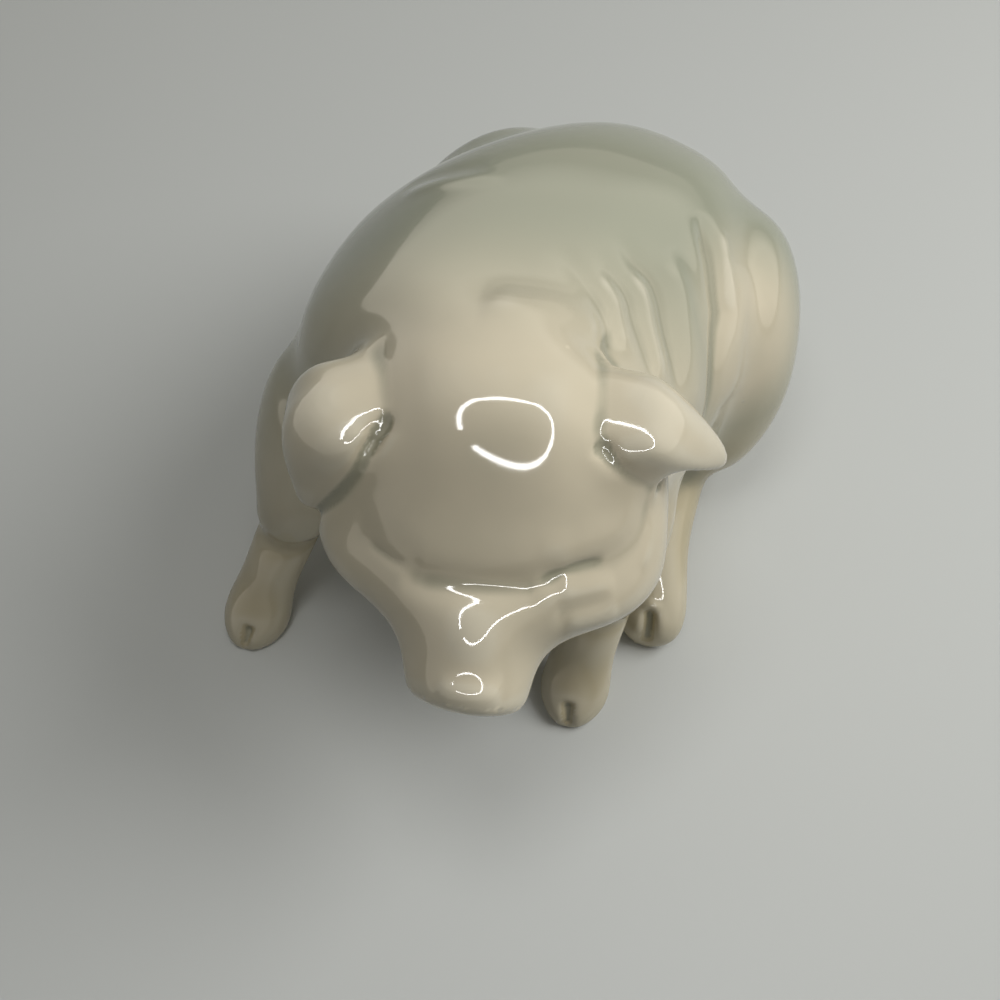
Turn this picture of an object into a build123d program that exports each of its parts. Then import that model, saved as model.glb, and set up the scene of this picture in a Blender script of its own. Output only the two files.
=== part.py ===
from build123d import *

"""A sitting pig figurine in glazed porcelain.

The pig sits on its haunches and looks down over its forelegs, with its body
bent a little to its own left. It is cast in separate pieces, luted together
before one glaze is fired over them all: a hollow torso with a vent hole in the
seat, a hollow head, and solid ears, forelegs, hind legs and tail. The legs run
up into the shoulders and the haunches, and are seated on the torso's sides.

X runs to the pig's left, Y to its back and Z up. The origin is on the table,
under the middle of the figure. Places are measured from the foot of the neck
joint.
"""

import math
import os

# Place of the neck joint over the table.
neck_side = -1.6
neck_back = -18.3
neck_height = 57.0

# Neck joint, a flat rim where the head meets the torso.
neck_width = 48.0
neck_crown = 26.5
neck_throat = 25.0
neck_turn = 14
neck_pitch = 5
wall = 3.2
throat_wall = 8.0

# Torso, from the neck joint to the tip of the rump.
torso_length = 72.0
torso_width = 69.0
torso_height = 76.0
seat_wall = 3.6
vent_diameter = 5.0
vent_side = 14.0
vent_back = 41.0

# Head, from the neck joint to the nose disc.
head_length = 38.0
head_width = 52.0
head_height = 46.0
head_turn = 11
nostril_diameter = 2.6
nostril_depth = 1.6
nostril_spacing = 7.0

# Ears, from the root on the head to the tip.
ear_length = 24.0
ear_root_inset = 2.0
ear_root_drop = 2.5
ear_thickness = 3.2

# Upper forelegs, from the shoulder down to the elbow.
elbow_height = 21.0
shoulder_reach = 34.0
shoulder_thickness = 24.0

# Lower forelegs and their hooves, flat on the table.
hoof_width = 12.6
hoof_length = 15.0
cleft_width = 2.0
cleft_height = 5.0
cleft_depth = 3.0
toe_cleft_height = 7.0

# Haunches, each a bulge from the hip down to the knee.
haunch_length = 40.0
haunch_width = 24.0
haunch_height = 44.0
haunch_middle_share = 0.71
haunch_pitch = -33

# Hind feet, flat on the table.
foot_length = 40.0
foot_height = 15.0
foot_width = 13.0

# Tail, one curl that lies on the rump.
tail_thickness = 4.6
tail_curl_diameter = 11.0

# Cuts run this far past the faces that they cut.
overrun = 1.0

RING_STEPS = 12
LEAF_STEPS = 8


def station(side, back, up, turn=0, pitch=0):
    """An upright plane across the body that looks forward, with X to its left."""
    turn, pitch = math.radians(turn), math.radians(pitch)
    forward = (
        -math.sin(turn) * math.cos(pitch),
        -math.cos(turn) * math.cos(pitch),
        math.sin(pitch),
    )
    left = (math.cos(turn), -math.sin(turn), 0)
    return Plane(
        origin=(neck_side + side, neck_back + back, up), x_dir=left, z_dir=forward
    )


def level(side, back, up, turn=0):
    """A level plane across a limb, with Y to the back."""
    turn = math.radians(turn)
    return Plane(
        origin=(neck_side + side, neck_back + back, up),
        x_dir=(math.cos(turn), -math.sin(turn), 0),
        z_dir=(0, 0, 1),
    )


def ring(half_width, crown, belly, sag=0.0):
    """Four curves round one section, wider low down where sag is above zero."""
    points = []
    for step in range(RING_STEPS + 1):
        angle = 2 * math.pi * step / RING_STEPS
        rise = math.sin(angle)
        width = half_width * (1 - sag * rise)
        points.append((width * math.cos(angle), (crown if rise > 0 else belly) * rise))
    quarter = RING_STEPS // 4
    headings = ((0, 1), (-1, 0), (0, -1), (1, 0), (0, 1))
    return [
        (points[turn * quarter : (turn + 1) * quarter + 1], headings[turn : turn + 2])
        for turn in range(4)
    ]


def leaf(half_width, camber, thickness):
    """Two curves round one thin section that bulges by its camber."""
    points = []
    for step in range(LEAF_STEPS + 1):
        angle = 2 * math.pi * step / LEAF_STEPS
        across = math.cos(angle)
        rise = camber * (1 - across**2) + thickness / 2 * math.sin(angle)
        points.append((half_width * across, rise))
    half_way = LEAF_STEPS // 2
    return [
        (points[: half_way + 1], ((0, 1), (0, -1))),
        (points[half_way:], ((0, -1), (0, 1))),
    ]


def lofted(sections):
    """A smooth solid through outlines, each drawn on its own plane."""
    with BuildPart() as form:
        for plane, outline in sections:
            with BuildSketch(plane):
                with BuildLine():
                    for points, headings in outline:
                        Spline(*points, tangents=headings)
                make_face()
        loft()
    return form.part


def neck_section(inset=0.0, throat_inset=0.0):
    """The neck joint's plane and outline, which head and torso share."""
    return (
        station(0, 0, neck_height, neck_turn, neck_pitch),
        ring(neck_width / 2 - inset, neck_crown - inset, neck_throat - throat_inset),
    )


# Torso rows: aside, back and up, then half width, crown and belly, all as shares
# of its width, length and height, then turn and pitch in degrees.
torso_shares = (
    (-0.06, 0.125, 0.66, 0.45, 0.38, 0.395, 24, 24),
    (0.005, 0.29, 0.585, 0.485, 0.41, 0.435, 28, 22),
    (0.13, 0.485, 0.515, 0.495, 0.41, 0.525, 31, 18),
    (0.27, 0.65, 0.46, 0.465, 0.38, 0.50, 33, 14),
    (0.39, 0.81, 0.415, 0.39, 0.31, 0.43, 34, 12),
    (0.475, 0.925, 0.38, 0.255, 0.21, 0.245, 34, 10),
    (0.51, 0.99, 0.36, 0.075, 0.065, 0.065, 34, 10),
)
# The hollow starts at the neck joint, leaves out the row under the throat, where
# the chest stands forward of the joint, and ends before the rump's tip.
torso_cavity_rows = slice(1, 6)


def torso_sections(inset=0.0):
    """Planes and outlines of the torso's rows, from the neck to the rump."""
    sections = []
    for aside, back, up, half, crown, belly, turn, pitch in torso_shares:
        plane = station(
            aside * torso_width, back * torso_length, up * torso_height, turn, pitch
        )
        outline = ring(
            half * torso_width - inset,
            crown * torso_height - inset,
            belly * torso_height - inset,
        )
        sections.append((plane, outline))
    return sections


torso_form = lofted([neck_section()] + torso_sections())
torso_cavity = lofted(
    [neck_section(wall, throat_wall)] + torso_sections(inset=wall)[torso_cavity_rows]
)

# Head rows: aside, ahead and up, then half width, crown and jaw, all as shares
# of its width, length and height, then sag and pitch.
head_shares = (
    (0.00, 0.15, 0.045, 0.47, 0.55, 0.56, 0.0, -3),
    (-0.02, 0.33, 0.035, 0.48, 0.43, 0.53, 0.08, -16),
    (-0.045, 0.53, -0.01, 0.46, 0.29, 0.44, 0.12, -31),
    (-0.068, 0.67, -0.04, 0.35, 0.24, 0.33, 0.10, -33),
    (-0.08, 0.775, -0.062, 0.222, 0.208, 0.25, 0.02, -32),
    (-0.087, 0.935, -0.10, 0.172, 0.187, 0.205, 0.0, -32),
    (-0.09, 0.99, -0.118, 0.165, 0.178, 0.19, 0.0, -32),
)
head_cavity_rows = 3
# Rows of the nose disc's round edge, which starts from the head's last row.
nose_shares = (
    head_shares[-1],
    (-0.091, 1.013, -0.13, 0.142, 0.153, 0.165, 0.0, -32),
    (-0.091, 1.021, -0.134, 0.112, 0.12, 0.13, 0.0, -32),
)


def face_sections(rows, inset=0.0):
    """Planes and outlines of the head's or the nose's rows."""
    sections = []
    for aside, ahead, up, half, crown, jaw, sag, pitch in rows:
        plane = station(
            aside * head_width,
            -ahead * head_length,
            neck_height + up * head_height,
            head_turn,
            pitch,
        )
        outline = ring(
            half * head_width - inset,
            crown * head_height - inset,
            jaw * head_height - inset,
            sag,
        )
        sections.append((plane, outline))
    return sections


head_form = lofted([neck_section()] + face_sections(head_shares))
head_cavity = lofted(
    [neck_section(wall, wall)] + face_sections(head_shares[:head_cavity_rows], inset=wall)
)
nose_sections = face_sections(nose_shares)
nose_form = lofted(nose_sections)
nose_plane = nose_sections[-1][0]

# Ear rows from the root to the tip: aside, back and up of the back edge, then of
# the front edge, then camber, all in ear lengths from a point in from the head's
# side and under the top of the neck joint.
ear_left_shares = (
    (-0.44, -0.12, -0.30, -0.47, -0.50, -0.30, 0.03),
    (-0.30, -0.04, -0.21, -0.37, -0.60, -0.20, 0.11),
    (-0.17, -0.01, -0.21, -0.25, -0.66, -0.19, 0.14),
    (-0.04, -0.07, -0.31, -0.12, -0.66, -0.31, 0.13),
    (0.08, -0.14, -0.44, 0.05, -0.58, -0.46, 0.10),
    (0.21, -0.24, -0.58, 0.20, -0.48, -0.60, 0.06),
    (0.32, -0.33, -0.69, 0.32, -0.36, -0.70, 0.01),
)
ear_right_shares = (
    (0.20, 0.04, -0.48, 0.36, -0.46, -0.44, 0.08),
    (0.08, 0.11, -0.30, 0.30, -0.52, -0.24, 0.12),
    (-0.13, 0.08, -0.48, 0.21, -0.57, -0.24, 0.17),
    (-0.19, -0.13, -0.72, 0.08, -0.60, -0.44, 0.14),
    (-0.16, -0.37, -0.86, -0.02, -0.60, -0.68, 0.06),
    (-0.12, -0.52, -0.91, -0.08, -0.56, -0.88, 0.01),
)


def ear_sections(rows, side):
    """Planes and outlines of one ear; side is 1 for the left and -1 for the right."""
    edges = []
    for row in rows:
        back = Vector(*row[0:3]) * ear_length
        front = Vector(*row[3:6]) * ear_length
        edges.append((back, front, row[6] * ear_length))
    sections = []
    for index, (back, front, camber) in enumerate(edges):
        before = edges[max(index - 1, 0)]
        after = edges[min(index + 1, len(edges) - 1)]
        along = (after[0] + after[1] - before[0] - before[1]).normalized()
        across = (back - front).normalized()
        along = (along - across * along.dot(across)).normalized()
        middle = (back + front) / 2 + Vector(
            neck_side + side * (head_width / 2 - ear_root_inset),
            neck_back,
            neck_height + neck_crown - ear_root_drop,
        )
        plane = Plane(origin=middle, x_dir=across * side, z_dir=along)
        half = (back - front).length / 2
        sections.append((plane, leaf(half, camber, min(ear_thickness, 2 * half))))
    return sections


# Shoulder rows down to the elbow: aside, back and up from the elbow's height, in
# shoulder reaches, then half width and half depth in shoulder thicknesses.
shoulder_left_shares = (
    (0.48, 0.42, 0.70, 0.36, 0.36),
    (0.56, 0.25, 0.50, 0.43, 0.43),
    (0.58, 0.05, 0.28, 0.41, 0.41),
    (0.55, -0.12, 0.10, 0.36, 0.36),
    (0.53, -0.21, 0.0, 0.33, 0.33),
)
shoulder_right_shares = (
    (-0.63, 0.56, 0.97, 0.39, 0.41),
    (-0.79, 0.48, 0.74, 0.46, 0.50),
    (-0.90, 0.36, 0.47, 0.44, 0.47),
    (-0.99, 0.26, 0.20, 0.36, 0.38),
    (-1.06, 0.22, 0.0, 0.31, 0.31),
)
# Lower rows: aside and ahead of the elbow, then height, in elbow heights, then
# half width in hoof widths, and front and heel in hoof lengths.
foreleg_shares = (
    (-0.02, -0.03, 1.08, 0.53, 0.44, 0.44),
    (0.09, 0.12, 0.76, 0.47, 0.40, 0.40),
    (0.21, 0.30, 0.50, 0.45, 0.38, 0.38),
    (0.30, 0.45, 0.30, 0.48, 0.42, 0.40),
    (0.35, 0.55, 0.15, 0.52, 0.50, 0.43),
    (0.36, 0.57, 0.00, 0.47, 0.50, 0.41),
)
foreleg_left_lean_share = -0.6
foreleg_right_lean_share = -1.2
foreleg_left_turn = 12
foreleg_right_turn = 20


def shoulder_sections(rows):
    """Planes and outlines of one upper foreleg from the shoulder to the elbow."""
    sections = []
    for aside, back, up, half, depth in rows:
        plane = level(
            aside * shoulder_reach, back * shoulder_reach, elbow_height + up * shoulder_reach
        )
        half_depth = depth * shoulder_thickness
        sections.append((plane, ring(half * shoulder_thickness, half_depth, half_depth)))
    return sections


def foreleg_sections(shoulder_rows, lean, turn):
    """Planes and outlines of one lower foreleg from the elbow to the table."""
    elbow_side = shoulder_rows[-1][0] * shoulder_reach
    elbow_back = shoulder_rows[-1][1] * shoulder_reach
    sections = []
    for aside, ahead, up, half, front, heel in foreleg_shares:
        plane = level(
            elbow_side + lean * aside * elbow_height,
            elbow_back - ahead * elbow_height,
            up * elbow_height,
            turn,
        )
        outline = ring(half * hoof_width, heel * hoof_length, front * hoof_length)
        sections.append((plane, outline))
    return sections


def hoof_plane(sections):
    """An upright plane that touches the front of a fore hoof, looking forward."""
    sole, outline = sections[-1]
    front_points, _ = outline[3]
    touch = sole.origin + sole.y_dir * front_points[0][1]
    return Plane(origin=touch, x_dir=sole.x_dir, z_dir=sole.y_dir * -1)


def toe_plane(sections):
    """An upright plane through the tip of a hind foot, looking forward."""
    tip = sections[-1][0]
    touch = Vector(tip.origin.X, tip.origin.Y, 0)
    return Plane(origin=touch, x_dir=tip.x_dir, z_dir=tip.z_dir)


def cleft_outline(height):
    """The notch between two toes, a wedge that stands on the table."""
    return (
        (-cleft_width / 2, -overrun),
        (cleft_width / 2, -overrun),
        (0, height),
    )


# Haunch rows: aside, ahead and up from its middle, then half width, crown and
# belly, all as shares of its width, length and height.
haunch_shares = (
    (0.00, -0.45, 0.25, 0.05, 0.03, 0.03),
    (0.00, -0.41, 0.225, 0.22, 0.20, 0.20),
    (0.00, -0.30, 0.16, 0.38, 0.36, 0.36),
    (0.00, -0.05, 0.00, 0.50, 0.50, 0.475),
    (0.00, 0.175, -0.15, 0.49, 0.45, 0.40),
    (-0.02, 0.35, -0.30, 0.40, 0.31, 0.275),
    (-0.04, 0.475, -0.39, 0.24, 0.19, 0.165),
    (-0.06, 0.53, -0.425, 0.06, 0.05, 0.04),
)
haunch_left_side = 42.2
haunch_left_back = 40.5
haunch_left_turn = 6
haunch_right_side = -2.0
haunch_right_back = 63.0
haunch_right_turn = 52


def haunch_sections(side, back, turn, hand):
    """Planes and outlines of one haunch; hand is 1 for the left, -1 for the right."""
    middle = station(side, back, haunch_middle_share * haunch_height, turn)
    sections = []
    for aside, ahead, up, half, crown, belly in haunch_shares:
        place = middle.origin + middle.x_dir * (hand * aside * haunch_width)
        place += middle.z_dir * (ahead * haunch_length) + Vector(0, 0, up * haunch_height)
        plane = station(0, 0, 0, turn, haunch_pitch)
        plane.origin = place
        outline = ring(
            half * haunch_width, crown * haunch_height, belly * haunch_height
        )
        sections.append((plane, outline))
    return sections


# Foot rows: aside and ahead of its middle, and up, then half width, instep and
# sole, as shares of its length, height and width.
foot_shares = (
    (-0.05, -0.56, 0.60, 0.30, 0.30, 0.30),
    (-0.045, -0.42, 0.55, 0.44, 0.47, 0.50),
    (-0.035, -0.13, 0.48, 0.45, 0.47, 0.50),
    (-0.01, 0.12, 0.43, 0.46, 0.42, 0.46),
    (0.02, 0.30, 0.37, 0.50, 0.37, 0.40),
    (0.03, 0.43, 0.28, 0.45, 0.28, 0.32),
    (0.03, 0.49, 0.20, 0.22, 0.14, 0.20),
)
foot_left_side = 31.0
foot_left_back = 8.0
foot_left_turn = 17
foot_right_side = -18.0
foot_right_back = 36.0
foot_right_turn = 42


def foot_sections(side, back, turn, hand):
    """Planes and outlines of one hind foot; hand is 1 for the left, -1 for the right."""
    middle = station(side, back, 0, turn)
    sections = []
    for aside, ahead, up, half, instep, sole in foot_shares:
        place = middle.origin + middle.x_dir * (hand * aside * foot_length)
        place += middle.z_dir * (ahead * foot_length) + Vector(0, 0, up * foot_height)
        plane = station(0, 0, 0, turn)
        plane.origin = place
        outline = ring(half * foot_width, instep * foot_height, sole * foot_height)
        sections.append((plane, outline))
    return sections


# Tail rows run round the curl: the turn in degrees, then how far it stands off
# the rump and how thick it is, both in tail thicknesses.
tail_shares = (
    (-60, -0.60, 0.50),
    (-20, 0.00, 0.50),
    (30, 0.15, 0.47),
    (80, 0.15, 0.43),
    (130, 0.10, 0.38),
    (180, 0.05, 0.32),
    (230, 0.15, 0.25),
    (270, 0.35, 0.16),
)
tail_side = 35.4
tail_back = 71.8
tail_height = 27.0
tail_turn = 34
tail_pitch = 4


def tail_sections():
    """Planes and outlines of the tail from the rump to its tip."""
    rump = station(tail_side, tail_back, tail_height, tail_turn, tail_pitch)
    sections = []
    for degrees, lift, half in tail_shares:
        angle = math.radians(degrees)
        spoke = rump.x_dir * math.cos(angle) + rump.y_dir * math.sin(angle)
        along = rump.y_dir * math.cos(angle) - rump.x_dir * math.sin(angle)
        place = rump.origin + spoke * (tail_curl_diameter / 2)
        place -= rump.z_dir * (lift * tail_thickness)
        plane = Plane(origin=place, x_dir=spoke, z_dir=along)
        half_width = half * tail_thickness
        sections.append((plane, ring(half_width, half_width, half_width)))
    return sections


with BuildPart() as torso_hollow:
    add(torso_cavity)
    split(bisect_by=Plane.XY.offset(seat_wall), keep=Keep.TOP)

with BuildPart() as torso_shell:
    add(torso_form)
    split(bisect_by=Plane.XY, keep=Keep.TOP)
    add(torso_hollow.part, mode=Mode.SUBTRACT)
    with BuildSketch(level(vent_side, vent_back, -overrun)):
        Circle(vent_diameter / 2)
    extrude(amount=seat_wall + 2 * overrun, mode=Mode.SUBTRACT)

with BuildPart() as head_shell:
    add(head_form)
    add(nose_form)
    add(head_cavity, mode=Mode.SUBTRACT)
    with BuildSketch(nose_plane):
        with Locations((-nostril_spacing / 2, 0), (nostril_spacing / 2, 0)):
            Circle(nostril_diameter / 2)
    extrude(amount=-nostril_depth, mode=Mode.SUBTRACT)

ear_left_form = lofted(ear_sections(ear_left_shares, 1))
with BuildPart() as ear_left:
    add(ear_left_form)
    add(head_form, mode=Mode.SUBTRACT)
    add(torso_form, mode=Mode.SUBTRACT)

ear_right_form = lofted(ear_sections(ear_right_shares, -1))
with BuildPart() as ear_right:
    add(ear_right_form)
    add(head_form, mode=Mode.SUBTRACT)
    add(torso_form, mode=Mode.SUBTRACT)

foreleg_left_sections = foreleg_sections(
    shoulder_left_shares, foreleg_left_lean_share, foreleg_left_turn
)
shoulder_left_form = lofted(shoulder_sections(shoulder_left_shares))
foreleg_left_form = lofted(foreleg_left_sections)
with BuildPart() as foreleg_left:
    add(shoulder_left_form)
    add(torso_form, mode=Mode.SUBTRACT)
    add(foreleg_left_form)
    with BuildSketch(hoof_plane(foreleg_left_sections)):
        Polygon(*cleft_outline(cleft_height), align=None)
    extrude(amount=-cleft_depth, mode=Mode.SUBTRACT)

foreleg_right_sections = foreleg_sections(
    shoulder_right_shares, foreleg_right_lean_share, foreleg_right_turn
)
shoulder_right_form = lofted(shoulder_sections(shoulder_right_shares))
foreleg_right_form = lofted(foreleg_right_sections)
with BuildPart() as foreleg_right:
    add(shoulder_right_form)
    add(torso_form, mode=Mode.SUBTRACT)
    add(foreleg_right_form)
    with BuildSketch(hoof_plane(foreleg_right_sections)):
        Polygon(*cleft_outline(cleft_height), align=None)
    extrude(amount=-cleft_depth, mode=Mode.SUBTRACT)

foot_left_sections = foot_sections(foot_left_side, foot_left_back, foot_left_turn, 1)
foot_left_form = lofted(foot_left_sections)
haunch_left_form = lofted(
    haunch_sections(haunch_left_side, haunch_left_back, haunch_left_turn, 1)
)
with BuildPart() as hind_leg_left:
    add(haunch_left_form)
    add(foot_left_form)
    split(bisect_by=Plane.XY, keep=Keep.TOP)
    add(torso_form, mode=Mode.SUBTRACT)
    with BuildSketch(toe_plane(foot_left_sections)):
        Polygon(*cleft_outline(toe_cleft_height), align=None)
    extrude(amount=-cleft_depth, both=True, mode=Mode.SUBTRACT)

foot_right_sections = foot_sections(foot_right_side, foot_right_back, foot_right_turn, -1)
foot_right_form = lofted(foot_right_sections)
haunch_right_form = lofted(
    haunch_sections(haunch_right_side, haunch_right_back, haunch_right_turn, -1)
)
with BuildPart() as hind_leg_right:
    add(haunch_right_form)
    add(foot_right_form)
    split(bisect_by=Plane.XY, keep=Keep.TOP)
    add(torso_form, mode=Mode.SUBTRACT)
    with BuildSketch(toe_plane(foot_right_sections)):
        Polygon(*cleft_outline(toe_cleft_height), align=None)
    extrude(amount=-cleft_depth, both=True, mode=Mode.SUBTRACT)

tail_form = lofted(tail_sections())
with BuildPart() as tail:
    add(tail_form)
    add(torso_form, mode=Mode.SUBTRACT)

pieces = {
    "torso_shell": torso_shell,
    "head_shell": head_shell,
    "ear_left": ear_left,
    "ear_right": ear_right,
    "foreleg_left": foreleg_left,
    "foreleg_right": foreleg_right,
    "hind_leg_left": hind_leg_left,
    "hind_leg_right": hind_leg_right,
    "tail": tail,
}
os.makedirs("parts", exist_ok=True)
for label, piece in pieces.items():
    piece.part.label = label
    export_step(piece.part, f"parts/{label}.step")
    print(label, piece.part.is_valid, len(piece.part.solids()), round(piece.part.volume))
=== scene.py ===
"""Looks of a glazed porcelain pig that sits on its haunches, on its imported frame.

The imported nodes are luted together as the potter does, into one skin with soft
joins. The skin is modelled with folds, brows, shut eyes, nostrils and clefts, and
is then divided again into one closed piece for each node, all under one glaze.
"""

import logging
import math
from dataclasses import dataclass, field
from enum import Enum

import bpy
import numpy as np
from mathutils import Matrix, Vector
from mathutils.bvhtree import BVHTree

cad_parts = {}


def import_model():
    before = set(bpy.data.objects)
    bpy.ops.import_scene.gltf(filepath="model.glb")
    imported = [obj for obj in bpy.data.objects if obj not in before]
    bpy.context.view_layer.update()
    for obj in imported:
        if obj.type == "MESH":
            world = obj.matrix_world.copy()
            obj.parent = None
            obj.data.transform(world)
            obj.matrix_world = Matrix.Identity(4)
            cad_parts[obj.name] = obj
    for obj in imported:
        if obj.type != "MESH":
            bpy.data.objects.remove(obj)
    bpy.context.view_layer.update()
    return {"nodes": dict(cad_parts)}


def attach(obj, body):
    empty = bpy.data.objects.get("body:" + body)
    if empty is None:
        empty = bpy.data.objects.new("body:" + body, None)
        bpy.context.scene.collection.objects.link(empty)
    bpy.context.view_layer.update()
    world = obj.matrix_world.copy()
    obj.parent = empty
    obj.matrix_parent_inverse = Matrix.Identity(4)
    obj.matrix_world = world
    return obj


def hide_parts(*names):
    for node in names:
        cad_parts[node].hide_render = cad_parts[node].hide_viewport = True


LOG = logging.getLogger("pig")
MM = 0.001
Point = tuple[float, float, float]
Colour = tuple[float, float, float]
Span = tuple[float, float]
Socket = bpy.types.NodeSocket


class Part(Enum):
    """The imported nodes, in the order in which they are luted."""

    TORSO = "torso_shell"
    HEAD = "head_shell"
    EAR_LEFT = "ear_left"
    EAR_RIGHT = "ear_right"
    FORELEG_LEFT = "foreleg_left"
    FORELEG_RIGHT = "foreleg_right"
    HIND_LEG_LEFT = "hind_leg_left"
    HIND_LEG_RIGHT = "hind_leg_right"
    TAIL = "tail"


class Tool(Enum):
    """What a modelling tool does to the clay: cut in, or build up."""

    CUT = -1.0
    BUILD = 1.0


def linear(red: int, green: int, blue: int) -> Colour:
    """Turns a screen colour into a linear one.

    Args:
        red: Red, 0 to 255.
        green: Green, 0 to 255.
        blue: Blue, 0 to 255.

    Returns:
        The same colour for a shader.
    """
    values = []
    for value in (red, green, blue):
        share = value / 255
        values.append(share / 12.92 if share <= 0.04045 else ((share + 0.055) / 1.055) ** 2.4)
    return values[0], values[1], values[2]


def select_only(obj: bpy.types.Object) -> None:
    """Makes one object the active and only selected one.

    Args:
        obj: The object.
    """
    bpy.ops.object.select_all(action="DESELECT")
    obj.select_set(True)
    bpy.context.view_layer.objects.active = obj


def coordinates(mesh: bpy.types.Mesh) -> np.ndarray:
    """Reads the places of a mesh's vertices.

    Args:
        mesh: The mesh.

    Returns:
        One row for each vertex, in metres.
    """
    flat = np.zeros(len(mesh.vertices) * 3, np.float32)
    mesh.vertices.foreach_get("co", flat)
    return flat.reshape(-1, 3).astype(float)


def vertex_normals(mesh: bpy.types.Mesh) -> np.ndarray:
    """Reads the smooth normals of a mesh's vertices.

    Args:
        mesh: The mesh.

    Returns:
        One row for each vertex.
    """
    flat = np.zeros(len(mesh.vertices) * 3, np.float32)
    mesh.vertex_normals.foreach_get("vector", flat)
    return flat.reshape(-1, 3).astype(float)


def edge_rows(mesh: bpy.types.Mesh) -> np.ndarray:
    """Reads which vertices a mesh's edges join.

    Args:
        mesh: The mesh.

    Returns:
        One pair of vertices for each edge.
    """
    flat = np.zeros(len(mesh.edges) * 2, np.int32)
    mesh.edges.foreach_get("vertices", flat)
    return flat.reshape(-1, 2)


def place(mesh: bpy.types.Mesh, rows: np.ndarray) -> None:
    """Puts a mesh's vertices at new places."""
    mesh.vertices.foreach_set("co", rows.astype(np.float32).ravel())
    mesh.update()


@dataclass(frozen=True)
class Stroke:
    """One stroke of a modelling tool along the clay.

    Args:
        path: Places that the tool goes through, in millimetres.
        width: Half the stroke's width, in millimetres.
        depth: How far it cuts in or builds up, in millimetres.
        tool: Whether it cuts or builds.
        reach: How far the stroke is felt, in widths.
        fade_share: How much of the path the tool takes to press in, at each end.
    """

    path: tuple[Point, ...]
    width: float
    depth: float
    tool: Tool = Tool.CUT
    reach: float = 3.0
    fade_share: float = 0.22

    def line(self, steps: int = 10) -> np.ndarray:
        """Rounds the path off.

        Args:
            steps: How many points each stretch gets.

        Returns:
            The points of the rounded path as rows, in metres.
        """
        points = [Vector(p) * MM for p in self.path]
        if len(points) == 1:
            return np.array([points[0]])
        ends = [points[0] * 2 - points[1]] + points + [points[-1] * 2 - points[-2]]
        rows = []
        for before, start, end, after in zip(ends, ends[1:], ends[2:], ends[3:]):
            for step in range(steps):
                t = step / steps
                rows.append(
                    (
                        2 * start
                        + (end - before) * t
                        + (2 * before - 5 * start + 4 * end - after) * t**2
                        + (3 * start - before - 3 * end + after) * t**3
                    )
                    / 2
                )
        rows.append(points[-1])
        return np.array(rows)

    def weights(self, rows: np.ndarray) -> np.ndarray:
        """Says how strongly the stroke is felt at each place.

        Args:
            rows: Places, in metres.

        Returns:
            A share from 0 to 1 for each place. Open ends fade out.
        """
        line = self.line()
        near = np.full(len(rows), np.inf)
        along = np.zeros(len(rows))
        reach = self.reach * self.width * MM
        low, high = line.min(0) - reach, line.max(0) + reach
        inside = np.flatnonzero(((rows > low) & (rows < high)).all(1))
        some = rows[inside]
        if len(line) == 1:
            near[inside] = np.linalg.norm(some - line[0], axis=1)
            return np.exp(-((near / (self.width * MM)) ** 2))
        for index in range(len(line) - 1):
            start, end = line[index], line[index + 1]
            span = end - start
            share = np.clip(((some - start) @ span) / (span @ span), 0, 1)
            gap = np.linalg.norm(some - start - share[:, None] * span, axis=1)
            closer = gap < near[inside]
            near[inside[closer]] = gap[closer]
            along[inside[closer]] = (index + share[closer]) / (len(line) - 1)
        fade = np.clip(np.minimum(along, 1 - along) / self.fade_share, 0, 1)
        return np.exp(-((near / (self.width * MM)) ** 2)) * fade * (2 - fade)


@dataclass(frozen=True)
class Smear:
    """A place where the clay is pushed by hand.

    Args:
        centre: The middle of the place, in millimetres.
        radius: How far the push is felt, in millimetres.
        push: How far and which way the clay moves, in millimetres.
    """

    centre: Point
    radius: float
    push: Point

    def moved(self, rows: np.ndarray) -> np.ndarray:
        """Pushes the clay.

        Args:
            rows: Places, in metres.

        Returns:
            The places after the push, in metres.
        """
        gap = np.linalg.norm(rows - np.array(self.centre) * MM, axis=1)
        weight = np.exp(-((gap / (self.radius * MM)) ** 2))
        return rows + weight[:, None] * np.array(self.push) * MM


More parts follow.
